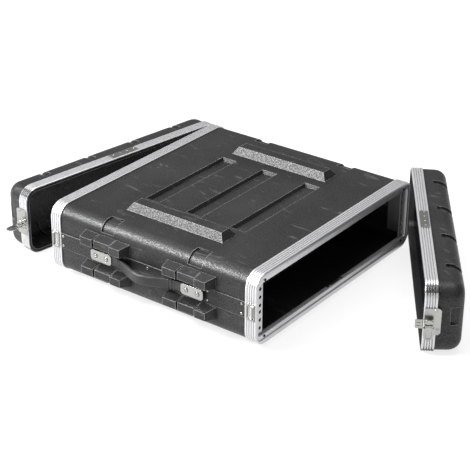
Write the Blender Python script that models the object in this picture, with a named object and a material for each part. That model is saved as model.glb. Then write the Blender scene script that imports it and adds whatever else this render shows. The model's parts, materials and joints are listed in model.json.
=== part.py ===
"""Two-unit equipment rack case: a moulded two-shell sleeve with aluminium rims, rack rails,
strap handles and two lift-off lids with butterfly latches.

The case is modelled with its front opening at y = 0 facing -Y and its rear opening at y = DEPTH.
The lids are built on their seats and then carried to where they stand beside the case.
"""
import math

import bmesh
import bpy
from mathutils import Matrix, Vector

MM = 0.001

# ---- Driving dimensions, millimetres ----
WIDTH = 508.0            # outside width of the rims
DEPTH = 471.0            # front mating plane to rear mating plane
HEIGHT = 138.6           # outside height of the rims
SKID = 11.5              # how far the bottom bars stand below the rims
FIT = 0.3                # gap between neighbouring pieces
RIM_BAND = 23.4          # depth of a body rim's outer band
LID_BAND = 22.2          # depth of a lid rim's outer band
RIM_RADIUS = 28.5        # outer corner radius of the rims
RIM_WALL = 2.2           # thickness of the rim extrusion
RIM_STEP = 1.9           # depth of the step inside a body rim's mating face
SCREW_X = 226.0          # rim screws, from the middle plane
SCREW_Z = 54.7           # rim screws, above and below the middle
INSET = 2.5              # shell surface below the rim surface
SKIN = 3.5               # thickness of the moulded shells
SHELL_RADIUS = 26.0      # radius of the shells' long edges
LID_DEPTH = 69.0         # mating plane to the back of a lid
NOTCH_X = (-171.0, -57.0, 57.0, 171.0)
NOTCH_WIDTH = 15.0
NOTCH_DEPTH = 4.5
SEAT_GAP = 0.6           # gap between the mating planes of a closed lid

RACK_HOLE_SPAN = 465.1   # side-to-side hole spacing of a 19 inch panel
RACK_CLEAR = 451.0       # width between the rails
RAIL_FACE = 6.6          # rail face behind the mating plane
RACK_HOLES = (6.35, 22.225, 38.1)   # hole heights above and below the middle
RACK_HOLE_RADIUS = 3.4

BAR_X = 161.0            # centre of each top or bottom bar
BAR_BASE = 45.0
BAR_TOP = 23.0
BAR_HEIGHT = 14.0
BAR_Y = (125.0, 348.0)
GROOVE_X = (-124.0, 115.0)
GROOVE_Y = ((120.0, 154.0), (219.0, 254.5), (318.0, 351.0))
GROOVE_DEPTH = 7.0

BUMPER_Y = ((86.0, 194.0), (280.0, 386.0))
BUMPER_Z = (17.0, 43.0)  # height of a bumper's root above the middle
POCKET_Y = ((119.5, 150.0), (320.0, 349.5))
STRIP_HALF = 15.7        # half height of the side joint strips
STRIP_THICK = 1.6

PLATED_IN = 254.3        # inner face of the keepers and latch plates
PLATED_OUT = 255.8       # their outer face

HANDLE_Y = 239.0         # middle of a handle
PLATE_Y = 105.0          # handle plate centre from the handle's middle
PLATE_LENGTH = 49.0
PLATE_HEIGHT = 21.5
PLATE_IN = 258.5         # inner face of a handle plate
PLATE_THICK = 1.6
PLATE_RIVET = 12.5       # handle rivets from the middle of their plate
RIVET_SHANK = 2.5        # radius of a handle rivet's shank
STRAP_IN = 253.7         # inner face of the strap's ends
STRAP_PAST_PLATE = 23.0  # strap end beyond the middle of its plate
SLOT_HALF = 3.1          # half height of the strap's slots
HANDLE_BOW = 19.0        # how far the grip stands off its ends
HANDLE_HEIGHT = 19.5
HANDLE_RUN = 75.0        # half length of the bowed part
HANDLE_TRAVEL = 3.0      # slack of the strap's slots either way
HANDLE_END = 4.5         # thickness of the strap's ends
HANDLE_GRIP = 10.0       # thickness of the grip

CATCH_X = 255.9          # catch bar centre from the middle plane
CATCH_Y = 6.5            # catch bar centre behind the mating plane
CATCH_RADIUS = 1.5
BELT_Z = 70.3            # height of the side hardware
LATCH_Z = 71.3           # height of the latch axes
LATCH_Y = -9.0           # latch axis from the lid's mating plane
HOOK_DRAW = 5.0          # travel of a hook along the case
HOOK_DROP = 4.5          # travel of a hook towards the case
HOOK_IN = 257.9          # inner face of a drawn hook
HOOK_THICK = 1.5
FOLD_X = 267.5           # wing fold axis from the middle plane
FOLD_Z = LATCH_Z - 3.0

FRONT_YAW = 33.55        # turn of the front lid from its seat, degrees
FRONT_CORNER = (338.74, 53.16)  # where the corner by its right end stands
REAR_YAW = -8.57
REAR_CORNER = (275.0, 485.2)

MID = HEIGHT / 2
HALF = WIDTH / 2
ARC_STEPS = 5


# ---- Scene and object helpers ----
def clear_scene():
    for obj in list(bpy.data.objects):
        bpy.data.objects.remove(obj, do_unlink=True)


def material(name, colour, roughness, metallic):
    mat = bpy.data.materials.get(name)
    if mat:
        return mat
    mat = bpy.data.materials.new(name)
    mat.use_nodes = True
    shader = mat.node_tree.nodes["Principled BSDF"]
    shader.inputs["Base Color"].default_value = (*colour, 1)
    shader.inputs["Roughness"].default_value = roughness
    shader.inputs["Metallic"].default_value = metallic
    return mat


def abs_black():
    return material("abs_black", (0.045, 0.045, 0.047), 0.5, 0.0)


def aluminium():
    return material("aluminium", (0.78, 0.79, 0.80), 0.35, 1.0)


def plated_steel():
    return material("plated_steel", (0.62, 0.63, 0.64), 0.25, 1.0)


def black_steel():
    return material("black_steel", (0.03, 0.03, 0.03), 0.4, 0.9)


def rubber():
    return material("rubber", (0.02, 0.02, 0.02), 0.75, 0.0)


def object_from(bm, name, mat, smooth=False):
    """Turn a bmesh drawn in millimetres into a named object in metres."""
    bmesh.ops.scale(bm, vec=(MM, MM, MM), verts=bm.verts)
    bmesh.ops.recalc_face_normals(bm, faces=bm.faces)
    mesh = bpy.data.meshes.new(name)
    bm.to_mesh(mesh)
    bm.free()
    if smooth:
        mesh.shade_smooth()
        mesh.set_sharp_from_angle(angle=math.radians(35))
    mesh.materials.append(mat)
    obj = bpy.data.objects.new(name, mesh)
    bpy.context.collection.objects.link(obj)
    return obj


def bake_booleans(obj):
    """Apply the object's modifiers and drop its cutters."""
    cutters = [m.object for m in obj.modifiers if m.type == "BOOLEAN"]
    depsgraph = bpy.context.evaluated_depsgraph_get()
    mesh = bpy.data.meshes.new_from_object(obj.evaluated_get(depsgraph))
    obj.modifiers.clear()
    obj.data = mesh
    for cutter in cutters:
        bpy.data.objects.remove(cutter, do_unlink=True)


def combine(obj, other, operation):
    """Union other with obj, or cut other from obj, with an exact Boolean."""
    other.hide_render = True
    other.display_type = "WIRE"
    modifier = obj.modifiers.new(operation.lower(), "BOOLEAN")
    modifier.operation = operation
    modifier.solver = "EXACT"
    modifier.object = other
    bpy.context.view_layer.update()
    bake_booleans(obj)


def move_origin(obj, pivot):
    """Put the object's origin on a joint axis without moving its mesh."""
    shift = Vector(pivot) * MM
    obj.data.transform(Matrix.Translation(-shift))
    obj.location = shift


# ---- Shape helpers, millimetres ----
def rounded_rectangle(half_x, half_z, radius, centre_z=MID):
    """Points of a rounded rectangle in the XZ plane, anticlockwise seen from -Y."""
    points = []
    for quadrant in range(4):
        sign_x = (1, -1, -1, 1)[quadrant]
        sign_z = (1, 1, -1, -1)[quadrant]
        centre = (sign_x * (half_x - radius), centre_z + sign_z * (half_z - radius))
        for step in range(ARC_STEPS + 1):
            angle = math.radians(90) * (quadrant + step / ARC_STEPS)
            points.append((centre[0] + radius * math.cos(angle), centre[1] + radius * math.sin(angle)))
    return points


def loft(bm, rings, closed_chain=False):
    """Join rings of points into a closed body; an open chain is capped at both ends."""
    loops = [[bm.verts.new(point) for point in ring] for ring in rings]
    pairs = list(zip(loops, loops[1:]))
    if closed_chain:
        pairs.append((loops[-1], loops[0]))
    for first, second in pairs:
        count = len(first)
        for i in range(count):
            j = (i + 1) % count
            bm.faces.new((first[i], first[j], second[j], second[i]))
    if not closed_chain:
        bm.faces.new(loops[0])
        bm.faces.new(list(reversed(loops[-1])))


def frame_rings(profile):
    """Rings of a rounded-rectangle frame from its section: (side inset, top inset, y, radius)."""
    rings = []
    for side_inset, top_inset, y, radius in profile:
        outline = rounded_rectangle(HALF - side_inset, HEIGHT / 2 - top_inset, radius)
        rings.append([(x, y, z) for x, z in outline])
    return rings


def prism(bm, outline, low, high, axis):
    """Extrude a 2D outline between two levels of the given axis."""
    def point(a, b, level):
        if axis == "X":
            return (level, a, b)
        if axis == "Y":
            return (a, level, b)
        return (a, b, level)
    loft(bm, [[point(a, b, low) for a, b in outline], [point(a, b, high) for a, b in outline]])


def box(bm, x, y, z):
    outline = [(x[0], y[0]), (x[1], y[0]), (x[1], y[1]), (x[0], y[1])]
    prism(bm, outline, z[0], z[1], "Z")


def tapered_block(bm, base, top, low, high, axis):
    """Block whose rectangle base (a0, a1, b0, b1) narrows to top between two levels."""
    def ring(rectangle, level):
        a0, a1, b0, b1 = rectangle
        corners = [(a0, b0), (a1, b0), (a1, b1), (a0, b1)]
        if axis == "X":
            return [(level, a, b) for a, b in corners]
        return [(a, b, level) for a, b in corners]
    loft(bm, [ring(base, low), ring(top, high)])


def circle(centre, radius, steps):
    turns = [2 * math.pi * i / steps for i in range(steps)]
    return [(centre[0] + radius * math.cos(t), centre[1] + radius * math.sin(t)) for t in turns]


def dome(bm, side, face_x, centre, radius, height):
    """Rivet head rooted just below a side face, bulging towards side * X."""
    rings = []
    for scale, rise in ((1.0, -0.5), (0.96, 0.45 * height), (0.55, height)):
        level = side * (face_x + rise)
        rings.append([(level, a, b) for a, b in circle(centre, radius * scale, 8)])
    loft(bm, rings)


def solid(name, mat, build, smooth=False):
    bm = bmesh.new()
    build(bm)
    return object_from(bm, name, mat, smooth)


def cutter(build):
    return solid("cutter", abs_black(), build)


# ---- Body shells ----
def shell_section(inset):
    """Half outline of the sleeve above the middle plane, open downwards, as a closed solid section."""
    half_x = HALF - INSET - inset
    top = HEIGHT - INSET - inset
    radius = SHELL_RADIUS - inset
    points = [(half_x, MID + FIT / 2)]
    for step in range(ARC_STEPS + 1):
        angle = math.radians(90) * step / ARC_STEPS
        points.append((half_x - radius + radius * math.cos(angle), top - radius + radius * math.sin(angle)))
    return points + [(-x, z) for x, z in reversed(points)]


def bar_block(bm, shrink):
    for side in (-1, 1):
        centre = side * BAR_X
        half = BAR_BASE / 2 - shrink
        flat = BAR_TOP / 2 - shrink * 0.7
        slope = (BAR_BASE - BAR_TOP) / 2
        low = HEIGHT - INSET - 2.0 - shrink
        high = HEIGHT - INSET + BAR_HEIGHT - shrink
        y0, y1 = BAR_Y[0] + shrink, BAR_Y[1] - shrink
        base = (centre - half, centre + half, y0, y1)
        top = (centre - flat, centre + flat, y0 + slope, y1 - slope)
        tapered_block(bm, base, top, low, high, "Z")


def groove_block(bm, grow):
    for y0, y1 in GROOVE_Y:
        draft = 4.0
        low = HEIGHT - INSET - GROOVE_DEPTH - grow
        high = HEIGHT - INSET + 1.0
        base = (GROOVE_X[0] + draft - grow, GROOVE_X[1] - draft + grow, y0 + draft - grow, y1 - draft + grow)
        top = (GROOVE_X[0] - grow, GROOVE_X[1] + grow, y0 - grow, y1 + grow)
        tapered_block(bm, base, top, low, high, "Z")


def pocket_block(bm, grow):
    """Shallow pockets that wrap over the rounded long edges."""
    centre_x = HALF - INSET - SHELL_RADIUS
    centre_z = HEIGHT - INSET - SHELL_RADIUS
    inner = SHELL_RADIUS - 3.0 - grow
    outer = SHELL_RADIUS + 4.0
    for side in (-1, 1):
        start = math.radians(16 - grow)
        steps = [start + (math.radians(90) - start) * i / ARC_STEPS for i in range(ARC_STEPS + 1)]
        arc = [(centre_x + inner * math.cos(a), centre_z + inner * math.sin(a)) for a in steps]
        arc.append((centre_x - 6.5 - grow, centre_z + inner))
        arc.append((centre_x - 6.5 - grow, centre_z + outer))
        arc += [(centre_x + outer * math.cos(a), centre_z + outer * math.sin(a)) for a in reversed(steps)]
        for y0, y1 in POCKET_Y:
            prism(bm, [(side * x, z) for x, z in arc], y0 - grow, y1 + grow, "Y")


def bumper_block(bm, shrink):
    """Stepped protective ribs on the sides, hollow behind."""
    wall = HALF - INSET
    for side in (-1, 1):
        for y0, y1 in BUMPER_Y:
            thirds = ((y0, y0 + 32.7, 22.0), (y0 + 33.3, y0 + 72.0, 19.0), (y0 + 73.5, y1, 21.0))
            for index, (a, b, reach) in enumerate(thirds):
                lean_a = 9.0 if index == 0 else 1.0
                lean_b = 4.0 if index == 2 else 0.5
                root = (a + shrink, b - shrink, MID + BUMPER_Z[0] + shrink, MID + BUMPER_Z[1] - shrink)
                face = (a + lean_a + shrink, b - lean_b - shrink, MID + 22.7 + shrink, MID + 38.0 - shrink)
                overlap = 2.0 + shrink
                tapered_block(bm, root, face, side * (wall - overlap), side * (wall + reach - shrink), "X")


def body_shell(name, upper):
    ends = (RIM_WALL + 3.0, DEPTH - RIM_WALL - 3.0)
    shell = solid(name, abs_black(), lambda bm: prism(bm, shell_section(0.0), ends[0], ends[1], "Y"))
    combine(shell, cutter(lambda bm: bar_block(bm, 0.0)), "UNION")
    combine(shell, cutter(lambda bm: bumper_block(bm, 0.0)), "UNION")
    void = cutter(lambda bm: prism(bm, void_section(), ends[0] - 1, ends[1] + 1, "Y"))
    combine(void, cutter(lambda bm: groove_block(bm, SKIN)), "DIFFERENCE")
    combine(void, cutter(lambda bm: pocket_block(bm, SKIN)), "DIFFERENCE")
    combine(void, cutter(lambda bm: bar_block(bm, SKIN)), "UNION")
    combine(void, cutter(lambda bm: bumper_block(bm, SKIN)), "UNION")
    combine(shell, void, "DIFFERENCE")
    combine(shell, cutter(lambda bm: groove_block(bm, 0.0)), "DIFFERENCE")
    combine(shell, cutter(lambda bm: pocket_block(bm, 0.0)), "DIFFERENCE")
    if not upper:
        shell.data.transform(Matrix.Translation((0, 0, HEIGHT * MM)) @ Matrix.Diagonal((1, 1, -1, 1)))
        shell.data.flip_normals()
    return shell


def void_section():
    section = shell_section(SKIN)
    floor = MID - 5.0
    return [(section[0][0], floor)] + section[1:-1] + [(section[-1][0], floor)]


# ---- Rims, rails and the rest of the case ----
def band_profile(band, groove, direction):
    """Outer side of a rim section, from its mating edge to its back edge, with one shallow groove."""
    profile = [(0.7, 0.7, 0.0, RIM_RADIUS - 0.7), (0.0, 0.0, direction * 0.7, RIM_RADIUS)]
    profile.append((0.0, 0.0, direction * (groove - 0.9), RIM_RADIUS))
    profile.append((0.5, 0.5, direction * groove, RIM_RADIUS - 0.5))
    profile.append((0.0, 0.0, direction * (groove + 0.9), RIM_RADIUS))
    profile.append((0.0, 0.0, direction * band, RIM_RADIUS))
    profile.append((RIM_WALL, RIM_WALL, direction * band, RIM_RADIUS - RIM_WALL))
    return profile


def body_rim(bm):
    clamp = INSET + SKIN + FIT
    profile = band_profile(RIM_BAND, 12.0, 1)
    profile += [
        (RIM_WALL, RIM_WALL, 4.9, RIM_RADIUS - RIM_WALL),
        (clamp, clamp, 4.9, 22.2),
        (clamp, clamp, 10.5, 22.2),
        (11.5, 18.5, 10.5, 4.0),
        (11.5, 18.5, 3.0, 4.0),
        (10.2, 17.2, RIM_STEP, 5.3),
        (8.2, 12.0, RIM_STEP, 8.0),
        (5.8, 8.8, 0.0, 11.5),
    ]
    loft(bm, frame_rings(profile), closed_chain=True)


def rim_splice(name):
    """Riveted joining plate on the lower lip of a rim."""
    z = 18.5 + FIT

    def heads(bm):
        for x in (-16.0, 16.0):
            rings = []
            for level, radius in ((z + 0.6, 2.2), (z + 1.8, 2.0), (z + 2.2, 1.2)):
                rings.append([(a, b, level) for a, b in circle((x, 6.2), radius, 8)])
            loft(bm, rings)
    plate = solid(name, plated_steel(), lambda bm: box(bm, (-24.0, 24.0), (3.0, 9.5), (z, z + 1.2)))
    combine(plate, cutter(heads), "UNION")
    return plate


def rack_rail(side):
    """Extruded rail: a drilled face flange stepped back to a wall flange."""
    def section(bm):
        outline = [
            (225.5, RAIL_FACE), (241.5, RAIL_FACE), (241.5, 14.0), (246.0, 14.0),
            (246.0, 44.0), (244.0, 44.0), (244.0, 16.0), (239.5, 16.0),
            (239.5, RAIL_FACE + 2.0), (225.5, RAIL_FACE + 2.0),
        ]
        prism(bm, [(side * x, y) for x, y in outline], MID - 48.5, MID + 48.5, "Z")

    def holes(bm):
        for offset in RACK_HOLES:
            for z in (MID - offset, MID + offset):
                centre = (side * RACK_HOLE_SPAN / 2, z)
                prism(bm, circle(centre, RACK_HOLE_RADIUS, 8), RAIL_FACE - 3, RAIL_FACE + 5, "Y")
    rail = solid("rail", aluminium(), section)
    combine(rail, cutter(holes), "DIFFERENCE")
    return rail


def rail_screw(bm, side, z):
    """Pan-head screw on the step of a rim, beyond the end of a rail."""
    rings = []
    for depth, radius in ((FIT, 2.5), (1.1, 2.4), (1.7, 1.6)):
        rings.append([(a, RIM_STEP - depth, b) for a, b in circle((side * SCREW_X, z), radius, 10)])
    loft(bm, rings)


def joint_strip(side, name):
    """Strip that covers the seam between the shells, with the rivets that hold it."""
    x = HALF - INSET + FIT

    def strip(bm):
        y0, y1 = RIM_BAND + FIT, DEPTH - RIM_BAND - FIT
        base = (y0, y1, BELT_Z - STRIP_HALF, BELT_Z + STRIP_HALF)
        top = (y0, y1, BELT_Z - STRIP_HALF + 0.6, BELT_Z + STRIP_HALF - 0.6)
        tapered_block(bm, base, top, side * x, side * (x + STRIP_THICK), "X")

    def heads(bm):
        for y in (30.5, 104.5, 239.0, 442.0):
            for z in (BELT_Z - 9.5, BELT_Z + 9.5):
                dome(bm, side, x + STRIP_THICK, (y, z), 2.5, 1.2)
    obj = solid(name, abs_black(), strip)
    combine(obj, cutter(heads), "UNION")
    return obj


def handle_plate(side, centre_y, name):
    """Plate over one end of a handle, with two rivets that pass through the strap's slot."""
    half = PLATE_LENGTH / 2
    tall = PLATE_HEIGHT / 2
    cut = 4.0

    def plate(bm):
        outline = [
            (-half + cut, -tall), (half - cut, -tall), (half, -tall + cut), (half, tall - cut),
            (half - cut, tall), (-half + cut, tall), (-half, tall - cut), (-half, -tall + cut),
        ]
        outline = [(centre_y + a, BELT_Z + b) for a, b in outline]
        prism(bm, outline, side * PLATE_IN, side * (PLATE_IN + PLATE_THICK), "X")

    def rivets(bm):
        head = PLATE_IN + PLATE_THICK / 2
        profile = [
            (STRAP_IN + 0.1, RIVET_SHANK), (head, RIVET_SHANK), (head, 4.2),
            (head + 1.5, 4.1), (head + 2.4, 2.4),
        ]
        for offset in (-PLATE_RIVET, PLATE_RIVET):
            centre = (centre_y + offset, BELT_Z)
            rings = []
            for level, radius in profile:
                rings.append([(side * level, a, b) for a, b in circle(centre, radius, 8)])
            loft(bm, rings)
    obj = solid(name, plated_steel(), plate)
    combine(obj, cutter(rivets), "UNION")
    return obj


def handle(side, name):
    """Bowed grip between two flat strap ends, each slotted for its plate's rivets."""
    def strap(bm):
        ends = PLATE_Y + STRAP_PAST_PLATE
        stations = [-ends, -ends + 1.0, -80.0]
        stations += [HANDLE_RUN * (i / 8 - 1) for i in range(17)]
        stations += [80.0, ends - 1.0, ends]
        rings = []
        for station in stations:
            rise = 0.0
            if abs(station) < HANDLE_RUN:
                rise = 0.5 * (1 + math.cos(math.pi * station / HANDLE_RUN))
            inner = STRAP_IN + HANDLE_BOW * rise
            thick = HANDLE_END + (HANDLE_GRIP - HANDLE_END) * rise ** 0.6
            edge = 1.0 + 2.2 * rise ** 0.6
            tall = HANDLE_HEIGHT / 2
            if abs(station) > ends - 0.5:
                tall -= 1.0
            section = [
                (inner, -tall + edge), (inner + edge, -tall), (inner + thick - edge, -tall),
                (inner + thick, -tall + edge), (inner + thick, tall - edge),
                (inner + thick - edge, tall), (inner + edge, tall), (inner, tall - edge),
            ]
            rings.append([(side * x, HANDLE_Y + station, BELT_Z + z) for x, z in section])
        loft(bm, rings)

    def slots(bm):
        reach = PLATE_RIVET + RIVET_SHANK + HANDLE_TRAVEL + FIT
        for end in (-PLATE_Y, PLATE_Y):
            centre = HANDLE_Y + end
            flat = reach - 1.5
            low = SLOT_HALF - 1.5
            outline = [
                (centre - flat, -SLOT_HALF), (centre + flat, -SLOT_HALF), (centre + reach, -low),
                (centre + reach, low), (centre + flat, SLOT_HALF), (centre - flat, SLOT_HALF),
                (centre - reach, low), (centre - reach, -low),
            ]
            outline = [(a, BELT_Z + b) for a, b in outline]
            prism(bm, outline, side * 250.0, side * 262.0, "X")
    obj = solid(name, rubber(), strap)
    combine(obj, cutter(slots), "DIFFERENCE")
    return obj


def keeper(side):
    """Plate with a window and two lugs that hold the catch bar."""
    def plate(bm):
        outline = [
            (2.5, -16.2), (18.0, -16.2), (20.0, -14.2), (20.0, 14.2), (18.0, 16.2), (2.5, 16.2),
        ]
        prism(bm, [(a, BELT_Z + b) for a, b in outline], side * PLATED_IN, side * PLATED_OUT, "X")

    def window(bm):
        x = sorted((side * 253.0, side * 257.0))
        box(bm, x, (3.8, 17.5), (BELT_Z - 11.0, BELT_Z + 11.0))

    def lugs(bm):
        for low in (-13.0, 11.0):
            outline = [(255.3, 3.9), (257.6, 3.9), (258.4, 5.2), (258.4, 8.2), (257.6, 9.5), (255.3, 9.5)]
            prism(bm, [(side * a, b) for a, b in outline], BELT_Z + low, BELT_Z + low + 2.0, "Z")
        for z in (BELT_Z - 13.6, BELT_Z + 13.6):
            dome(bm, side, PLATED_OUT, (15.5, z), 1.9, 1.0)
    obj = solid("keeper", plated_steel(), plate)
    combine(obj, cutter(window), "DIFFERENCE")
    combine(obj, cutter(lugs), "UNION")
    return obj


def catch_bar(bm, side):
    centre = (side * CATCH_X, CATCH_Y)
    prism(bm, circle(centre, CATCH_RADIUS, 12), BELT_Z - 10.7, BELT_Z + 10.7, "Z")


# ---- Lid, drawn on the front seat ----
def lid_rim(bm):
    clamp = INSET + SKIN + FIT
    profile = band_profile(LID_BAND, 11.0, -1)
    profile += [
        (RIM_WALL, RIM_WALL, -6.9, RIM_RADIUS - RIM_WALL),
        (clamp, clamp, -6.9, 22.2),
        (clamp, clamp, -13.5, 22.2),
        (clamp + 1.8, clamp + 1.8, -13.5, 20.4),
        (clamp + 1.8, clamp + 1.8, 0.0, 20.4),
        (clamp + 0.6, clamp + 0.6, 0.0, 21.6),
        (clamp + 0.6, clamp + 0.6, -4.0, 21.6),
        (2.0, 2.0, -4.0, RIM_RADIUS - 2.0),
        (2.0, 2.0, 0.0, RIM_RADIUS - 2.0),
    ]
    loft(bm, frame_rings(profile), closed_chain=True)


def lid_gasket(bm):
    profile = [
        (2.4, 2.4, -3.6, 26.1), (6.5, 6.5, -3.6, 22.0), (6.5, 6.5, -1.2, 22.0),
        (5.6, 5.6, -0.2, 22.9), (3.3, 3.3, -0.2, 25.2), (2.4, 2.4, -1.2, 26.1),
    ]
    loft(bm, frame_rings(profile), closed_chain=True)


def notch_section(grow):
    """Outline, in Y and Z, of a notch that follows the lid's rounded back edge."""
    depth = NOTCH_DEPTH + grow
    centre_y = -45.0
    centre_z = HEIGHT - 22.0
    points = [(-37.0 + grow, HEIGHT + 2.0), (-37.0 + grow, HEIGHT - 2.4 - grow)]
    for step in range(ARC_STEPS + 1):
        angle = math.radians(90) * step / ARC_STEPS
        y = centre_y - (24.0 - depth) * math.sin(angle)
        points.append((y, centre_z + (18.6 - depth) * math.cos(angle)))
    end_z = HEIGHT - 32.0 - grow
    points += [(-LID_DEPTH - 1.0 + grow, end_z), (-LID_DEPTH - 4.0, end_z), (-LID_DEPTH - 4.0, HEIGHT + 2.0)]
    return points


def lid_notches(bm, grow):
    """Notches that divide the lid's back edge into blocks."""
    section = notch_section(grow)
    half = NOTCH_WIDTH / 2 + grow
    for x in NOTCH_X:
        prism(bm, section, x - half, x + half, "X")
        prism(bm, [(y, HEIGHT - z) for y, z in section], x - half, x + half, "X")
    floor = INSET + 5.5 + grow
    for side in (-1, 1):
        x = sorted((side * (HALF - floor), side * (HALF + 2)))
        box(bm, x, (-66.0 - grow, -46.0 + grow), (63.0 - grow, 96.0 + grow))


def lid_shell(name):
    mouth = -7.2
    outer = [
        (2.5, mouth, 26.0), (3.4, -45.0, 25.0), (4.6, -53.0, 24.0),
        (8.2, -60.5, 21.0), (14.0, -66.0, 17.0), (22.0, -LID_DEPTH, 12.0),
    ]
    inner = [
        (outer[0][0] + SKIN, 2.0, 22.5), (outer[1][0] + SKIN, -45.0, 25.0 - SKIN), (8.4, -51.0, 20.5),
        (11.4, -57.6, 18.0), (16.6, -62.4, 14.5), (23.0, -LID_DEPTH + SKIN, 10.0),
    ]

    def body(bm):
        loft(bm, frame_rings([(i, i, y, r) for i, y, r in outer]))

    def cavity(bm):
        loft(bm, frame_rings([(i, i, y, r) for i, y, r in inner]))
    shell = solid(name, abs_black(), body)
    void = cutter(cavity)
    combine(void, cutter(lambda bm: lid_notches(bm, SKIN)), "DIFFERENCE")
    combine(shell, void, "DIFFERENCE")
    combine(shell, cutter(lambda bm: lid_notches(bm, 0.0)), "DIFFERENCE")
    return shell


def lid_splice(name):
    """Dented joining plate on the top of a lid rim."""
    z = HEIGHT + FIT

    def plate(bm):
        base = (-33.5, 33.5, -20.0, -4.5)
        top = (-33.0, 33.0, -19.5, -5.0)
        tapered_block(bm, base, top, z, z + 1.0, "Z")

    def dents(bm):
        for x in (-27.0, -9.0, 9.0, 27.0):
            rings = []
            for level, radius in ((z + 0.45, 1.6), (z + 1.6, 3.0)):
                rings.append([(a, b, level) for a, b in circle((x, -12.0), radius, 8)])
            loft(bm, rings)
    obj = solid(name, plated_steel(), plate)
    combine(obj, cutter(dents), "DIFFERENCE")
    return obj


def latch_plate(side, name):
    """Backing plate of a latch, with the two rivets that hold it."""
    def plate(bm):
        outline = [
            (-1.5, -25.8), (-26.0, -25.8), (-30.0, -21.8),
            (-30.0, 21.8), (-26.0, 25.8), (-1.5, 25.8),
        ]
        prism(bm, [(a, LATCH_Z + b) for a, b in outline], side * PLATED_IN, side * PLATED_OUT, "X")

    def heads(bm):
        for y, z in ((-20.5, LATCH_Z + 21.5), (-25.0, LATCH_Z - 15.0)):
            dome(bm, side, PLATED_OUT, (y, z), 2.5, 1.2)
    obj = solid(name, plated_steel(), plate)
    combine(obj, cutter(heads), "UNION")
    return obj


def latch_hook(side, name):
    """Hook plate with a slot round the rotor and a claw that goes behind the catch bar."""
    outside = HOOK_IN + HOOK_THICK

    def plate(bm):
        outline = [(-22.5, -7.0), (-21.0, -8.5), (8.5, -8.5), (10.0, -7.0),
                   (10.0, 7.0), (8.5, 8.5), (-21.0, 8.5), (-22.5, 7.0)]
        prism(bm, [(a, LATCH_Z + b) for a, b in outline], side * HOOK_IN, side * outside, "X")

    def slot(bm):
        x = sorted((side * (HOOK_IN - 2), side * (outside + 2)))
        box(bm, x, (LATCH_Y - 6.3 - HOOK_DRAW, LATCH_Y + 6.3), (LATCH_Z - 6.3, LATCH_Z + 6.3))

    def claw(bm):
        x = sorted((side * (CATCH_X + 0.6), side * (HOOK_IN + 0.5)))
        low = CATCH_Y + CATCH_RADIUS + 0.4 + SEAT_GAP
        box(bm, x, (low, 10.0), (LATCH_Z - 6.5, LATCH_Z + 6.5))
    obj = solid(name, plated_steel(), plate)
    combine(obj, cutter(slot), "DIFFERENCE")
    combine(obj, cutter(claw), "UNION")
    obj.data.transform(Matrix.Translation(Vector((side * HOOK_DROP, HOOK_DRAW, 0.0)) * MM))
    return obj


def latch_rotor(side, name):
    """Hub and disc with two lugs that carry the wing's barrel."""
    disc = HOOK_IN + HOOK_THICK + HOOK_DROP + FIT

    def hub(bm):
        rings = []
        for x, radius in ((PLATED_OUT + FIT, 6.0), (disc, 6.0), (disc, 8.5), (disc + 1.4, 8.2)):
            rings.append([(side * x, a, b) for a, b in circle((LATCH_Y, LATCH_Z), radius, 12)])
        loft(bm, rings)

    def lugs(bm):
        x = sorted((side * (disc + 1.0), side * (FOLD_X + 1.3)))
        for y in (-6.2, 4.3):
            box(bm, x, (LATCH_Y + y, LATCH_Y + y + 1.9), (FOLD_Z - 1.8, FOLD_Z + 1.8))
    obj = solid(name, plated_steel(), hub)
    combine(obj, cutter(lugs), "UNION")
    return obj


def latch_wing(side, name):
    """Folding thumb piece on a barrel."""
    def barrel(bm):
        outline = circle((side * FOLD_X, FOLD_Z), 1.6, 10)
        loft(bm, [[(x, LATCH_Y + y, z) for x, z in outline] for y in (-4.0, 4.0)])

    def flap(bm):
        outline = [
            (-3.9, 0.0), (-3.9, -2.6), (-8.5, -5.0), (-9.5, -12.0), (-8.0, -23.0),
            (-4.0, -27.0), (4.0, -27.0), (8.0, -23.0), (9.5, -12.0), (8.5, -5.0),
            (3.9, -2.6), (3.9, 0.0),
        ]
        outline = [(LATCH_Y + a, FOLD_Z + b) for a, b in outline]
        prism(bm, outline, side * (FOLD_X - 1.4), side * (FOLD_X + 0.2), "X")
    obj = solid(name, plated_steel(), barrel)
    combine(obj, cutter(flap), "UNION")
    return obj


# ---- Assembly ----
def turned_about(matrix, point):
    shift = Matrix.Translation(Vector(point) * MM)
    return shift @ matrix @ shift.inverted()


def yaw(degrees):
    return Matrix.Rotation(math.radians(degrees), 4, "Z")


END_TO_END = Matrix.Translation((0, DEPTH * MM, 0)) @ Matrix.Rotation(math.pi, 4, "Z")


def mirrored_end(obj):
    """Reflect a piece of the front end to the rear end."""
    flip = Matrix.Translation((0, DEPTH * MM, 0)) @ Matrix.Diagonal((1, -1, 1, 1))
    obj.data.transform(flip)
    obj.data.flip_normals()


def side_name(side):
    return "left" if side < 0 else "right"


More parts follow.
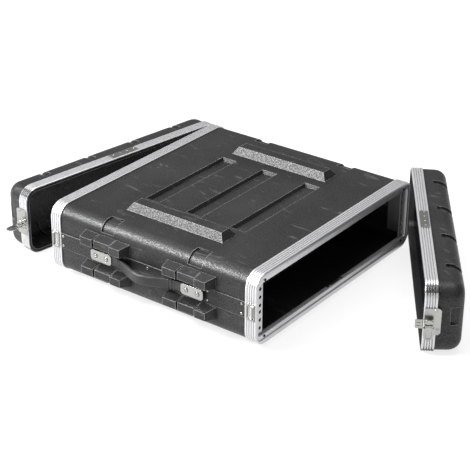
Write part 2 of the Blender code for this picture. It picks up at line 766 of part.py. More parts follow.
def build_case():
    body_shell("upper_shell", True)
    body_shell("lower_shell", False)
    for end in ("front", "rear"):
        pieces = [solid(f"{end}_rim", aluminium(), body_rim, smooth=True)]
        pieces.append(rim_splice(f"{end}_rim_splice"))
        for side in (-1, 1):
            rail = rack_rail(side)
            rail.name = f"rack_rail_{end}_{side_name(side)}"
            plate = keeper(side)
            plate.name = f"{end}_keeper_{side_name(side)}"
            bar_name = f"{end}_catch_bar_{side_name(side)}"
            bar = solid(bar_name, plated_steel(), lambda bm, s=side: catch_bar(bm, s), smooth=True)
            pieces += [rail, plate, bar]
            for level, z in (("top", MID + SCREW_Z), ("bottom", MID - SCREW_Z)):
                screw_name = f"rail_screw_{end}_{side_name(side)}_{level}"
                build = lambda bm, s=side, height=z: rail_screw(bm, s, height)
                pieces.append(solid(screw_name, black_steel(), build, smooth=True))
        if end == "rear":
            for piece in pieces:
                mirrored_end(piece)
    for side in (-1, 1):
        bar_front = bpy.data.objects[f"front_catch_bar_{side_name(side)}"]
        bar_rear = bpy.data.objects[f"rear_catch_bar_{side_name(side)}"]
        move_origin(bar_front, (side * CATCH_X, CATCH_Y, BELT_Z))
        move_origin(bar_rear, (side * CATCH_X, DEPTH - CATCH_Y, BELT_Z))
        joint_strip(side, f"joint_strip_{side_name(side)}")
        handle_plate(side, HANDLE_Y - PLATE_Y, f"handle_plate_{side_name(side)}_front")
        handle_plate(side, HANDLE_Y + PLATE_Y, f"handle_plate_{side_name(side)}_rear")
        grip = handle(side, f"handle_{side_name(side)}")
        move_origin(grip, (side * CATCH_X, HANDLE_Y, BELT_Z))


def build_lid(end, pose, folded_sides):
    """Build one lid on its seat, then stand it where pose puts it."""
    pieces = [
        lid_shell(f"{end}_lid_shell"),
        solid(f"{end}_lid_rim", aluminium(), lid_rim, smooth=True),
        solid(f"{end}_lid_gasket", rubber(), lid_gasket),
        lid_splice(f"{end}_lid_splice"),
    ]
    pivots = {}
    for side in (-1, 1):
        # The rear lid is the front lid turned end to end, so its sides swap names.
        label = side_name(side if end == "front" else -side)
        plate = latch_plate(side, f"{end}_latch_plate_{label}")
        hook = latch_hook(side, f"{end}_latch_hook_{label}")
        rotor = latch_rotor(side, f"{end}_latch_rotor_{label}")
        wing = latch_wing(side, f"{end}_latch_wing_{label}")
        pieces += [plate, hook, rotor, wing]
        pivots[hook.name] = (side * HOOK_IN, 0.0, LATCH_Z)
        pivots[rotor.name] = (side * HOOK_IN, LATCH_Y, LATCH_Z)
        pivots[wing.name] = (side * FOLD_X, LATCH_Y, FOLD_Z)
        if label in folded_sides:
            fold = Matrix.Rotation(-side * math.radians(90), 4, "Y")
            wing.data.transform(turned_about(fold, pivots[wing.name]))
    seat = Matrix.Translation((0, -SEAT_GAP * MM, 0))
    for piece in pieces:
        move_origin(piece, pivots.get(piece.name, (0.0, 0.0, MID)))
        piece.matrix_world = pose @ seat @ piece.matrix_basis


def lid_pose(turn, corner, closed_corner, end_turn):
    """Carry a lid from its seat so that the foot of its right mating corner stands at corner."""
    place = Matrix.Translation(Vector((corner[0], corner[1], -SKID)) * MM)
    lift_back = Matrix.Translation(Vector((-closed_corner[0], -closed_corner[1], 0.0)) * MM)
    return place @ yaw(turn) @ lift_back @ end_turn


def centre_on_floor():
    """Shift everything so that the origin is the middle of the footprint, on the floor."""
    bpy.context.view_layer.update()
    low = Vector((1e9, 1e9, 1e9))
    high = -low
    pieces = [obj for obj in bpy.data.objects if obj.type == "MESH"]
    for obj in pieces:
        for vertex in obj.data.vertices:
            point = obj.matrix_world @ vertex.co
            for axis in range(3):
                low[axis] = min(low[axis], point[axis])
                high[axis] = max(high[axis], point[axis])
    shift = Matrix.Translation(-Vector(((low.x + high.x) / 2, (low.y + high.y) / 2, low.z)))
    for obj in pieces:
        obj.matrix_world = shift @ obj.matrix_world


def main():
    clear_scene()
    build_case()
    front_pose = lid_pose(FRONT_YAW, FRONT_CORNER, (HALF, -SEAT_GAP), Matrix.Identity(4))
    build_lid("front", front_pose, ())
    rear_pose = lid_pose(REAR_YAW, REAR_CORNER, (HALF, DEPTH + SEAT_GAP), END_TO_END)
    build_lid("rear", rear_pose, ("left",))
    centre_on_floor()


main()
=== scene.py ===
import json
import math

import bmesh
import bpy
from mathutils import Matrix, Vector


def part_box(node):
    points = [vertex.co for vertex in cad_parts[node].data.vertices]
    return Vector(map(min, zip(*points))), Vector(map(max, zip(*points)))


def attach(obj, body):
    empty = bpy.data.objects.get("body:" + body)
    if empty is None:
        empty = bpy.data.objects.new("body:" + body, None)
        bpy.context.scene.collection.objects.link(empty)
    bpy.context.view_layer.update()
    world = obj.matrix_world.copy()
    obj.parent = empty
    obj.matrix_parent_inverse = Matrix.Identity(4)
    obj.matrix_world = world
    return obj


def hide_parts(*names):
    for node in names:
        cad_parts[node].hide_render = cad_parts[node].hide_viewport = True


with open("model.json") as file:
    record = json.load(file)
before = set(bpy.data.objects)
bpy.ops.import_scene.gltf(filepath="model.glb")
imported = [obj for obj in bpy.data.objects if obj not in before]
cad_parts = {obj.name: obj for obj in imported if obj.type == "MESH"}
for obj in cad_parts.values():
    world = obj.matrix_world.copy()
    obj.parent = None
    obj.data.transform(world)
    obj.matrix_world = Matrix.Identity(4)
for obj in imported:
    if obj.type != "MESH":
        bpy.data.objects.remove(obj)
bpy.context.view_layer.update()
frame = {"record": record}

# ---- Sizes, millimetres in the frame of the case: X right, Y back from the front mating plane ----
MM = 0.001
WIDTH = 508.0
DEPTH = 471.0
HEIGHT = 138.6
HALF = WIDTH / 2
MID = HEIGHT / 2
RIM_RADIUS = 28.5
RIM_WALL = 2.2
BODY_BAND = 23.4
LID_BAND = 22.2
CLAMP = 6.3              # side inset of the rims' inner flange
CLAMP_RADIUS = 22.2
SHELL_INSET = 2.5
SHELL_RADIUS = 26.0
SKIN = 3.5
LID_DEPTH = 69.0
LID_BEND = 45.0          # depth at which the lid's wall starts to round into its back
LID_INSET = 3.4          # of the lid's wall, from the sides of the rims
LID_RADIUS = 25.0
BEND_INSET = 18.6        # how far the back's flat lies inside the wall
BEND_RADIUS_LOSS = 13.0  # how much the corner radius shrinks on the way there
BEND_DROP = 22.0         # from the top of the rims down to the back's flat
NOTCH_X = (-171.0, -57.0, 57.0, 171.0)
NOTCH_HALF = 7.5
NOTCH_DEPTH = 4.5
NOTCH_START = 37.0       # behind the front of the lid's seat
NOTCH_END = 32.0         # below the top of the rims, on the back
SIDE_NOTCH_DEPTH = 5.5
SIDE_NOTCH_Y = (-66.0, -46.0)
SIDE_NOTCH_Z = (63.0, 96.0)
BAR_X = 161.0
BAR_HALF = 22.5
BAR_FLAT_HALF = 11.5
BAR_HEIGHT = 14.0
BAR_Y = (125.0, 348.0)
GROOVE_X = (-124.0, 115.0)
GROOVE_Y = ((120.0, 154.0), (219.0, 254.5), (318.0, 351.0))
GROOVE_DEPTH = 7.0
GROOVE_DRAFT = 4.0
BUMPER_Y = ((86.0, 194.0), (280.0, 386.0))
BUMPER_ROOT_Z = (17.0, 43.0)     # above the middle height
BUMPER_FACE_Z = (22.7, 38.0)
POCKET_Y = ((119.5, 150.0), (320.0, 349.5))
POCKET_DEPTH = 3.0
POCKET_START = 16.0      # degrees above the horizontal
POCKET_FLAT = 6.5        # how far a pocket runs on over the flat top
SEAT_GAP = 0.6
RAIL_FACE = 6.6
RIM_STEP = 1.9
SCREW_X = 226.0
SCREW_Z = 54.7
RACK_HOLE_SPAN = 465.1
RACK_HOLES = (6.35, 22.225, 38.1)
BELT_Z = 70.3
STRIP_HALF = 15.7
STRIP_THICK = 1.6
STRIP_RIVETS = (30.5, 104.5, 239.0, 442.0)
HANDLE_Y = 239.0
PLATE_Y = 105.0
PLATE_IN = 258.5
PLATE_OUT = 260.1
PLATE_RIVET = 12.5
STRAP_IN = 253.7
STRAP_PAST_PLATE = 23.0
SLOT_HALF = 15.2
SLOT_RADIUS = 3.1
HANDLE_BOW = 19.0
HANDLE_RUN = 75.0
PLATED_IN = 254.3        # faces of the keepers and latch plates
PLATED_OUT = 255.8
CATCH_X = 255.9
CATCH_Y = 6.5
LATCH_Z = 71.3
LATCH_Y = -9.0
HOOK_DRAW = 5.0
HOOK_DROP = 4.5
HOOK_IN = 257.9
HOOK_THICK = 1.5
FOLD_X = 267.5
FOLD_Z = LATCH_Z - 3.0
DISC_X = HOOK_IN + HOOK_THICK + HOOK_DROP + 0.3
SPLICE_Z = 18.8
SPLICE_TOP = HEIGHT + 0.3
SHADE_FROM = 3.5          # least inset from the sides at which a lid rim is painted dark, as shade
CORNER_STEPS = 12
ROUND_STEPS = 24
SIDES = ((-1, "left"), (1, "right"))
ENDS = ("front", "rear")

# ---- Camera, degrees and metres from the case's origin ----
CAMERA_TURN = (-53.305, 27.0, 0.457)
CAMERA_LENS = 110.38
CAMERA_AIM = (0.0, 0.25, 0.06)
CAMERA_BACK = 2.7542
CAMERA_RIGHT = 0.0123
CAMERA_DOWN = 0.0174


def case_origin():
    """Where the case's own origin lies in the frame, from the front rim's box."""
    low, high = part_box("front_rim")
    return Vector(((low[0] + high[0]) / 2, low[1], low[2]))


CASE = Matrix.Translation(case_origin())
REAR_TURN = Matrix.Translation((0, DEPTH * MM, 0)) @ Matrix.Rotation(math.pi, 4, "Z")
REAR_MIRROR = Matrix.Translation((0, DEPTH * MM, 0)) @ Matrix.Diagonal((1, -1, 1, 1))


def joint(name):
    """A joint of the record, by its name."""
    return next(item for item in frame["record"]["behaviour"]["joints"] if item["name"] == name)


def lid_pose(end):
    """Rest place of a lid: swung open about its catch bar, then slid off."""
    swing = joint(f"{end}_lid_swing")
    slide = joint(f"{end}_lid_lift_off")
    pivot = Matrix.Translation(swing["pos_m"])
    opened = Matrix.Rotation(-math.radians(swing["range_deg"][1]), 4, Vector(swing["axis"]))
    moved = Matrix.Translation(-Vector(slide["axis"]) * slide["range_m"][1])
    seat = CASE if end == "front" else CASE @ REAR_TURN
    return moved @ pivot @ opened @ pivot.inverted() @ seat @ Matrix.Translation((0, -SEAT_GAP * MM, 0))


# ---- Node materials ----
class Shader:
    """A Principled material whose nodes are added one after another."""

    def __init__(self, name, colour, roughness, metallic=0.0):
        self.material = bpy.data.materials.new(name)
        self.material.use_nodes = True
        self.nodes = self.material.node_tree.nodes
        self.links = self.material.node_tree.links
        self.surface = self.nodes["Principled BSDF"]
        self.surface.inputs["Base Color"].default_value = (*colour, 1)
        self.surface.inputs["Roughness"].default_value = roughness
        self.surface.inputs["Metallic"].default_value = metallic
        self.place = self.nodes.new("ShaderNodeTexCoord").outputs["Object"]

    def stretched(self, scale):
        mapping = self.nodes.new("ShaderNodeMapping")
        mapping.inputs["Scale"].default_value = scale
        self.links.new(self.place, mapping.inputs["Vector"])
        return mapping.outputs["Vector"]

    def noise(self, scale, detail=2.0, vector=None, distortion=0.0):
        node = self.nodes.new("ShaderNodeTexNoise")
        node.inputs["Scale"].default_value = scale
        node.inputs["Detail"].default_value = detail
        node.inputs["Distortion"].default_value = distortion
        self.links.new(vector or self.place, node.inputs["Vector"])
        return node.outputs["Fac"]

    def cells(self, scale):
        node = self.nodes.new("ShaderNodeTexVoronoi")
        node.feature = "SMOOTH_F1"
        node.inputs["Scale"].default_value = scale
        self.links.new(self.place, node.inputs["Vector"])
        return node.outputs["Distance"]

    def remap(self, value, low, high, to_low, to_high):
        node = self.nodes.new("ShaderNodeMapRange")
        for name, number in zip(("From Min", "From Max", "To Min", "To Max"), (low, high, to_low, to_high)):
            node.inputs[name].default_value = number
        self.links.new(value, node.inputs["Value"])
        return node.outputs["Result"]

    def maths(self, operation, first, second):
        node = self.nodes.new("ShaderNodeMath")
        node.operation = operation
        node.use_clamp = operation != "MULTIPLY"
        for socket, value in zip(node.inputs, (first, second)):
            if isinstance(value, (int, float)):
                socket.default_value = value
            else:
                self.links.new(value, socket)
        return node.outputs["Value"]

    def blend(self, factor, first, second):
        node = self.nodes.new("ShaderNodeMix")
        node.data_type = "RGBA"
        self.links.new(factor, node.inputs["Factor"])
        for socket, value in ((node.inputs["A"], first), (node.inputs["B"], second)):
            if isinstance(value, tuple):
                socket.default_value = (*value, 1)
            else:
                self.links.new(value, socket)
        return node.outputs["Result"]

    def corners(self, radius):
        """Fades in beside every corner and crease of the shape."""
        geometry = self.nodes.new("ShaderNodeNewGeometry")
        rounded = self.nodes.new("ShaderNodeBevel")
        rounded.samples = 4
        rounded.inputs["Radius"].default_value = radius
        likeness = self.nodes.new("ShaderNodeVectorMath")
        likeness.operation = "DOT_PRODUCT"
        self.links.new(rounded.outputs["Normal"], likeness.inputs[0])
        self.links.new(geometry.outputs["Normal"], likeness.inputs[1])
        return self.remap(likeness.outputs["Value"], 0.995, 0.93, 0.0, 1.0)

    def edges(self, radius):
        """Fades in beside convex corners only."""
        geometry = self.nodes.new("ShaderNodeNewGeometry")
        convex = self.remap(geometry.outputs["Pointiness"], 0.494, 0.506, 0.0, 1.0)
        return self.maths("MULTIPLY", self.corners(radius), convex)

    def creases(self, radius):
        """Fades in beside concave corners only."""
        geometry = self.nodes.new("ShaderNodeNewGeometry")
        concave = self.remap(geometry.outputs["Pointiness"], 0.506, 0.494, 0.0, 1.0)
        return self.maths("MULTIPLY", self.corners(radius), concave)

    def colour(self, value):
        self.links.new(value, self.surface.inputs["Base Color"])

    def roughness(self, value):
        self.links.new(value, self.surface.inputs["Roughness"])

    def bump(self, value, strength, distance):
        node = self.nodes.new("ShaderNodeBump")
        node.inputs["Strength"].default_value = strength
        node.inputs["Distance"].default_value = distance
        self.links.new(value, node.inputs["Height"])
        previous = self.surface.inputs["Normal"]
        if previous.is_linked:
            self.links.new(previous.links[0].from_socket, node.inputs["Normal"])
        self.links.new(node.outputs["Normal"], previous)


def moulded_plastic(name, tone, wear_and_highlight_tone, roughness):
    """Pebble-grained black plastic with faint handling marks, edges lightened partly by abrasion and partly
    as painted highlight, and creases painted dark as shade.
    """
    shader = Shader(name, tone, roughness)
    pebbles = shader.cells(520.0)
    shader.bump(pebbles, 0.42, 0.0007)
    gloss = shader.remap(pebbles, 0.1, 0.55, 0.62, 0.26)
    shader.links.new(gloss, shader.surface.inputs["Specular IOR Level"])
    shader.bump(shader.noise(1500.0, 3.0), 0.2, 0.0003)
    patches = shader.remap(shader.noise(9.0, 4.0), 0.35, 0.7, 0.0, 1.0)
    scuffs = shader.noise(60.0, 6.0, shader.stretched((1.0, 0.25, 1.0)), 1.5)
    scuffs = shader.remap(scuffs, 0.62, 0.78, 0.0, 0.6)
    # Lighter convex edges: partly abrasion, partly painted highlight along the edges.
    at_edges = shader.edges(0.0017)
    uneven = shader.remap(shader.noise(120.0, 4.0), 0.3, 0.7, 0.45, 1.0)
    rubbed_and_highlit = shader.maths("MULTIPLY", at_edges, uneven)
    paler = tuple(channel * 1.5 + 0.004 for channel in tone)
    base = shader.blend(patches, tone, paler)
    wear_and_highlight = shader.maths("ADD", shader.maths("MULTIPLY", scuffs, 0.35), rubbed_and_highlit)
    # Painted shade: creases darkened to near black, where shade falls.
    crease_shade = shader.creases(0.002)
    shader.colour(shader.blend(crease_shade, shader.blend(wear_and_highlight, base, wear_and_highlight_tone), (0.002, 0.002, 0.002)))
    grain = shader.remap(pebbles, 0.0, 0.6, roughness - 0.07, roughness + 0.08)
    shader.roughness(shader.maths("ADD", grain, shader.maths("MULTIPLY", scuffs, 0.15)))
    return shader.material


def metal(name, tone, dull, roughness, streaks, pits=0.12, metallic=1.0):
    """Bright metal: fine drawing lines, cloudy patches, small pits and scratches, edges brightened partly by
    polish and partly as painted highlight, creases painted dark as shade.
    """
    shader = Shader(name, tone, roughness, metallic)
    lines = shader.noise(1.0, 3.0, shader.stretched(streaks))
    clouds = shader.remap(shader.noise(14.0, 5.0), 0.35, 0.68, 0.0, 1.0)
    scratches = shader.noise(45.0, 8.0, shader.stretched((1.0, 6.0, 0.5)), 2.5)
    scratches = shader.remap(scratches, 0.6, 0.72, 0.0, 1.0)
    tint = shader.blend(shader.maths("MULTIPLY", clouds, 0.6), tone, dull)
    # Brighter convex edges: partly polish, partly painted highlight.
    bright = tuple(min(1.0, channel * 1.12) for channel in tone)
    # Painted shade: creases darkened towards a near-black tone, where shade falls.
    crease_shade_tone = tuple(channel * 0.25 for channel in dull)
    crease_shade = shader.creases(0.0013)
    edge_polish_and_highlight = shader.blend(shader.edges(0.0006), tint, bright)
    shader.colour(shader.blend(crease_shade, edge_polish_and_highlight, crease_shade_tone))
    rough = shader.remap(lines, 0.3, 0.7, roughness - 0.06, roughness + 0.08)
    rough = shader.maths("ADD", rough, shader.maths("MULTIPLY", clouds, 0.07))
    shader.roughness(shader.maths("ADD", rough, shader.maths("MULTIPLY", scratches, 0.12)))
    shader.bump(lines, 0.1, 0.0002)
    shader.bump(shader.noise(420.0, 4.0), pits, 0.0003)
    return shader.material


def rubber(name, tone, roughness):
    """Dull rubber with a soft bloom, fine grain and polished high spots."""
    shader = Shader(name, tone, roughness)
    bloom = shader.remap(shader.noise(35.0, 5.0), 0.4, 0.7, 0.0, 1.0)
    dusty = tuple(channel * 1.9 + 0.006 for channel in tone)
    shader.colour(shader.blend(bloom, tone, dusty))
    edge_polish_and_highlight = shader.maths("MULTIPLY", shader.edges(0.0015), 0.18)
    grain = shader.remap(shader.noise(260.0, 4.0), 0.3, 0.7, roughness - 0.05, roughness + 0.1)
    shader.roughness(shader.maths("SUBTRACT", grain, edge_polish_and_highlight))
    shader.bump(shader.noise(900.0, 3.0), 0.3, 0.0004)
    return shader.material


DRAWN = (6.0, 2600.0, 6.0)
ALONG_RAIL = (1800.0, 1800.0, 8.0)
BRUSHED = (900.0, 30.0, 900.0)
EVEN = (300.0, 300.0, 300.0)

ABS = moulded_plastic("moulded_abs", (0.0085, 0.0085, 0.009), (0.30, 0.30, 0.30), 0.4)
ALUMINIUM = metal("drawn_aluminium", (0.62, 0.62, 0.63), (0.50, 0.50, 0.51), 0.32, DRAWN, metallic=0.7)
# Painted shade: a dark copy of the aluminium for the lid rims' inner faces, standing in for shade and the
# reflection of the dark inside.
SHADED_ALUMINIUM = metal("shaded_aluminium", (0.17, 0.17, 0.175), (0.11, 0.11, 0.11), 0.36, DRAWN)
RAIL_METAL = metal("rail_aluminium", (0.58, 0.58, 0.59), (0.44, 0.44, 0.45), 0.38, ALONG_RAIL)
STEEL = metal("zinc_plated_steel", (0.40, 0.40, 0.385), (0.27, 0.27, 0.26), 0.26, BRUSHED, 0.2)
DARK_STEEL = metal("blackened_steel", (0.05, 0.05, 0.052), (0.03, 0.03, 0.03), 0.4, EVEN, 0.2)
RUBBER = rubber("black_rubber", (0.010, 0.010, 0.010), 0.5)


# ---- Mesh helpers, millimetres ----
def piece(name, bm, material, body, nodes, place=CASE, bevel=0.0, segments=2, angle=30.0):
    """Make a finished piece from a bmesh drawn in millimetres."""
    bmesh.ops.scale(bm, vec=(MM, MM, MM), verts=bm.verts)
    bmesh.ops.recalc_face_normals(bm, faces=bm.faces)
    mesh = bpy.data.meshes.new(name)
    bm.to_mesh(mesh)
    bm.free()
    obj = bpy.data.objects.new(name, mesh)
    bpy.context.collection.objects.link(obj)
    obj.matrix_world = place
    finish_piece(obj, material, body, nodes, bevel, segments, angle)
    return obj


def finish_piece(obj, material, body, nodes, bevel, segments, angle):
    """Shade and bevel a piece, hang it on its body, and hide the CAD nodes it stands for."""
    obj.data.materials.clear()
    obj.data.materials.append(material)
    obj.data.shade_smooth()
    if bevel:
        modifier = obj.modifiers.new("bevel", "BEVEL")
        modifier.width = bevel * MM
        modifier.segments = segments
        modifier.limit_method = "ANGLE"
        modifier.angle_limit = math.radians(angle)
        modifier.miter_outer = "MITER_ARC"
        weighted = obj.modifiers.new("even_shading", "WEIGHTED_NORMAL")
        weighted.keep_sharp = True
    else:
        obj.data.set_sharp_from_angle(angle=math.radians(angle))
    bpy.context.view_layer.update()
    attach(obj, body)
    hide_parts(*nodes)


def rounded_rectangle(half_x, half_z, radius):
    """Points, in X and Z, round the case's middle height."""
    points = []
    for quadrant in range(4):
        sign_x = (1, -1, -1, 1)[quadrant]
        sign_z = (1, 1, -1, -1)[quadrant]
        for step in range(CORNER_STEPS + 1):
            angle = math.radians(90) * (quadrant + step / CORNER_STEPS)
            x = sign_x * (half_x - radius) + radius * math.cos(angle)
            z = MID + sign_z * (half_z - radius) + radius * math.sin(angle)
            points.append((x, z))
    return points


def loft(bm, rings, closed=False):
    """Join rings of points one to the next; cap the ends, or close the last on the first."""
    loops = [[bm.verts.new(point) for point in ring] for ring in rings]
    pairs = list(zip(loops, loops[1:]))
    if closed:
        pairs.append((loops[-1], loops[0]))
    for first, second in pairs:
        for i in range(len(first)):
            j = (i + 1) % len(first)
            bm.faces.new((first[i], first[j], second[j], second[i]))
    if not closed:
        bm.faces.new(loops[0])
        bm.faces.new(list(reversed(loops[-1])))


def prism(bm, outline, low, high, axis):
    """Straight extrusion of an outline between two levels of an axis."""
    order = {
        "X": lambda a, b, c: (c, a, b),
        "Y": lambda a, b, c: (a, c, b),
        "Z": lambda a, b, c: (a, b, c),
    }[axis]
    loft(bm, [[order(a, b, level) for a, b in outline] for level in (low, high)])


def box(bm, x, y, z):
    prism(bm, [(x[0], y[0]), (x[1], y[0]), (x[1], y[1]), (x[0], y[1])], z[0], z[1], "Z")


def circle(centre, radius, steps=ROUND_STEPS):
    turns = [2 * math.pi * i / steps for i in range(steps)]
    return [(centre[0] + radius * math.cos(t), centre[1] + radius * math.sin(t)) for t in turns]


def turned(bm, axis, centre, profile, side=1):
    """Body of revolution from (level, radius) pairs along the X, Y or Z axis."""
    rings = []
    for level, radius in profile:
        ring = []
        for a, b in circle(centre, radius):
            ring.append({"X": (side * level, a, b), "Y": (a, level, b), "Z": (a, b, level)}[axis])
        rings.append(ring)
    loft(bm, rings)


def dome_profile(face, radius, height, steps=5):
    """Profile of a rivet head that stands on a face."""
    profile = [(face - 0.5, radius), (face, radius)]
    for step in range(1, steps + 1):
        angle = math.radians(84) * step / steps
        profile.append((face + height * math.sin(angle), radius * math.cos(angle) ** 0.7))
    return profile


def drawn(build):
    """A new bmesh with what the function draws in it."""
    bm = bmesh.new()
    build(bm)
    return bm


def temporary(bm):
    """Turn a bmesh into an object that lasts for one Boolean."""
    mesh = bpy.data.meshes.new("cutter")
    bmesh.ops.recalc_face_normals(bm, faces=bm.faces)
    bm.to_mesh(mesh)
    bm.free()
    obj = bpy.data.objects.new("cutter", mesh)
    bpy.context.collection.objects.link(obj)
    return obj


def boolean(bm, tool, operation):
    """Exact Boolean of two bmeshes; returns the result as a new bmesh."""
    base = temporary(bm)
    other = temporary(tool)
    modifier = base.modifiers.new("cut", "BOOLEAN")
    modifier.operation = operation
    modifier.solver = "EXACT"
    modifier.object = other
    bpy.context.view_layer.update()
    graph = bpy.context.evaluated_depsgraph_get()
    mesh = bpy.data.meshes.new_from_object(base.evaluated_get(graph))
    result = bmesh.new()
    result.from_mesh(mesh)
    for obj in (base, other):
        bpy.data.objects.remove(obj, do_unlink=True)
    bpy.data.meshes.remove(mesh)
    return result


# ---- Rims ----
def ridged_band(band, ridges, direction):
    """Outer face of a rim: flat-topped ridges with rounded grooves between them."""
    profile = [
        (1.6, 1.6, 0.0, RIM_RADIUS - 1.6), (0.6, 0.6, 0.25, RIM_RADIUS - 0.6), (0.0, 0.0, 1.2, RIM_RADIUS),
    ]
    pitch = band / (ridges + 1)
    for index in range(1, ridges + 1):
        y = pitch * index
        for offset, depth in ((-1.2, 0.0), (-0.8, 0.8), (-0.3, 1.15), (0.3, 1.15), (0.8, 0.8), (1.2, 0.0)):
            profile.append((depth, depth, y + offset, RIM_RADIUS - depth))
    profile.append((0.0, 0.0, band - 0.5, RIM_RADIUS))
    profile.append((0.4, 0.4, band, RIM_RADIUS - 0.4))
    profile.append((RIM_WALL, RIM_WALL, band, RIM_RADIUS - RIM_WALL))
    return [(side, top, direction * y, radius) for side, top, y, radius in profile]


def frame_ring(bm, profile):
    """Closed frame from (side inset, top inset, Y, corner radius) points of its section."""
    rings = []
    for side, top, y, radius in profile:
        outline = rounded_rectangle(HALF - side, MID - top, radius)
        rings.append([(x, y, z) for x, z in outline])
    loft(bm, rings, closed=True)


def body_rim_profile():
    """Section of the sleeve's rim: ridged band, clamp round the sleeve, stepped mating face."""
    return ridged_band(BODY_BAND, 4, 1) + [
        (RIM_WALL, RIM_WALL, 4.9, RIM_RADIUS - RIM_WALL),
        (CLAMP, CLAMP, 4.9, CLAMP_RADIUS), (CLAMP, CLAMP, 10.5, CLAMP_RADIUS),
        (11.5, 18.5, 10.5, 4.0), (11.5, 18.5, 3.0, 4.0), (11.1, 18.1, 2.2, 4.4), (10.2, 17.2, RIM_STEP, 5.3),
        (8.2, 12.0, RIM_STEP, 8.0), (7.4, 10.6, 1.4, 9.5), (6.6, 9.6, 0.3, 10.5), (5.8, 8.8, 0.0, 11.5),
    ]


def lid_rim_profile():
    """Section of a lid's rim: ridged band, clamp round the lid, and the groove for the gasket."""
    return ridged_band(LID_BAND, 4, -1) + [
        (RIM_WALL, RIM_WALL, -6.9, RIM_RADIUS - RIM_WALL),
        (CLAMP, CLAMP, -6.9, CLAMP_RADIUS), (CLAMP, CLAMP, -13.5, CLAMP_RADIUS),
        (8.1, 8.1, -13.5, 20.4), (8.1, 8.1, -0.4, 20.4), (7.8, 7.8, 0.0, 20.7), (7.2, 7.2, 0.0, 21.3),
        (6.9, 6.9, -0.4, 21.6), (6.9, 6.9, -4.0, 21.6), (2.0, 2.0, -4.0, 26.5), (2.0, 2.0, 0.0, 26.5),
    ]


def shade_inside(rim):
    """Paint faces well inside both sides with a dark copy of the aluminium: painted shade and painted
    reflection of the dark inside of the lid.

    The outer faces of the rounded corners lie that far in too, so they are painted dark as well.
    """
    rim.data.materials.append(SHADED_ALUMINIUM)
    for face in rim.data.polygons:
        inset_x = HALF - abs(face.center.x) / MM
        inset_z = MID - abs(face.center.z / MM - MID)
        if min(inset_x, inset_z) > SHADE_FROM:
            face.material_index = 1


def build_rims():
    for end in ENDS:
        place = CASE if end == "front" else CASE @ REAR_MIRROR
        rim = drawn(lambda bm: frame_ring(bm, body_rim_profile()))
        piece(f"{end}_rim_detailed", rim, ALUMINIUM, "case", [f"{end}_rim"], place, angle=28.0)
        rim = drawn(lambda bm: frame_ring(bm, lid_rim_profile()))
        body = f"{end}_lid"
        lid_rim = piece(f"{end}_lid_rim_detailed", rim, ALUMINIUM, body, [f"{end}_lid_rim"],
                        lid_pose(end), angle=28.0)
        # Painted shade on the lid rim's inner faces.
        shade_inside(lid_rim)
        gasket = drawn(lambda bm: frame_ring(bm, gasket_profile()))
        piece(f"{end}_gasket_detailed", gasket, RUBBER, body, [f"{end}_lid_gasket"], lid_pose(end))


def gasket_profile():
    """Flat-based seal with a rounded, grooved lip."""
    profile = [(2.4, -3.6), (6.5, -3.6), (6.5, -1.4), (6.2, -0.7), (5.6, -0.3), (5.0, -0.4), (4.5, -1.0)]
    profile += [(3.9, -0.4), (3.3, -0.3), (2.7, -0.7), (2.4, -1.4)]
    return [(inset, inset, y, RIM_RADIUS - inset) for inset, y in profile]


# ---- Shells ----
def tapered_block(bm, base, top, low, high, axis):
    """Block whose rectangle base (a0, a1, b0, b1) narrows to top between two levels."""
    rings = []
    for (a0, a1, b0, b1), level in ((base, low), (top, high)):
        corners = [(a0, b0), (a1, b0), (a1, b1), (a0, b1)]
        rings.append([(level, a, b) if axis == "X" else (a, b, level) for a, b in corners])
    loft(bm, rings)


def shell_section(inset, floor):
    """Outline of one half of the sleeve, with its open side at floor."""
    half_x = HALF - SHELL_INSET - inset
    radius = SHELL_RADIUS - inset
    points = [(half_x, floor)]
    for step in range(CORNER_STEPS + 1):
        angle = math.radians(90) * step / CORNER_STEPS
        x = half_x - radius + radius * math.cos(angle)
        z = HEIGHT - SHELL_INSET - inset - radius + radius * math.sin(angle)
        points.append((x, z))
    return points + [(-x, z) for x, z in reversed(points)]


def bars(bm, shrink=0.0):
    """Raised bars with sloping sides along the top."""
    top_face = HEIGHT - SHELL_INSET
    for side in (-1, 1):
        centre = side * BAR_X
        half = BAR_HALF - shrink
        flat = BAR_FLAT_HALF - shrink * 0.7
        y0, y1 = BAR_Y[0] + shrink, BAR_Y[1] - shrink
        base = (centre - half, centre + half, y0, y1)
        top = (centre - flat, centre + flat, y0 + 11.0, y1 - 11.0)
        tapered_block(bm, base, top, top_face - 2.0 - shrink, top_face + BAR_HEIGHT - shrink, "Z")


def grooves(bm, grow=0.0):
    """Recessed panels between the bars."""
    top_face = HEIGHT - SHELL_INSET
    inset = GROOVE_DRAFT - grow
    for y0, y1 in GROOVE_Y:
        x0, x1 = GROOVE_X
        base = (x0 + inset, x1 - inset, y0 + inset, y1 - inset)
        top = (x0 - grow, x1 + grow, y0 - grow, y1 + grow)
        tapered_block(bm, base, top, top_face - GROOVE_DEPTH - grow, top_face + 1.0, "Z")


def edge_pockets(bm, grow=0.0):
    """Pockets round the long top edges, above the bumpers."""
    centre_x = HALF - SHELL_INSET - SHELL_RADIUS
    centre_z = HEIGHT - SHELL_INSET - SHELL_RADIUS
    inner = SHELL_RADIUS - POCKET_DEPTH - grow
    outer = SHELL_RADIUS + 4.0
    start = math.radians(POCKET_START - grow)
    turns = [start + (math.radians(90) - start) * i / CORNER_STEPS for i in range(CORNER_STEPS + 1)]
    arc = [(centre_x + inner * math.cos(a), centre_z + inner * math.sin(a)) for a in turns]
    flat_end = centre_x - POCKET_FLAT - grow
    arc += [(flat_end, centre_z + inner), (flat_end, centre_z + outer)]
    arc += [(centre_x + outer * math.cos(a), centre_z + outer * math.sin(a)) for a in reversed(turns)]
    for side in (-1, 1):
        for y0, y1 in POCKET_Y:
            prism(bm, [(side * x, z) for x, z in arc], y0 - grow, y1 + grow, "Y")


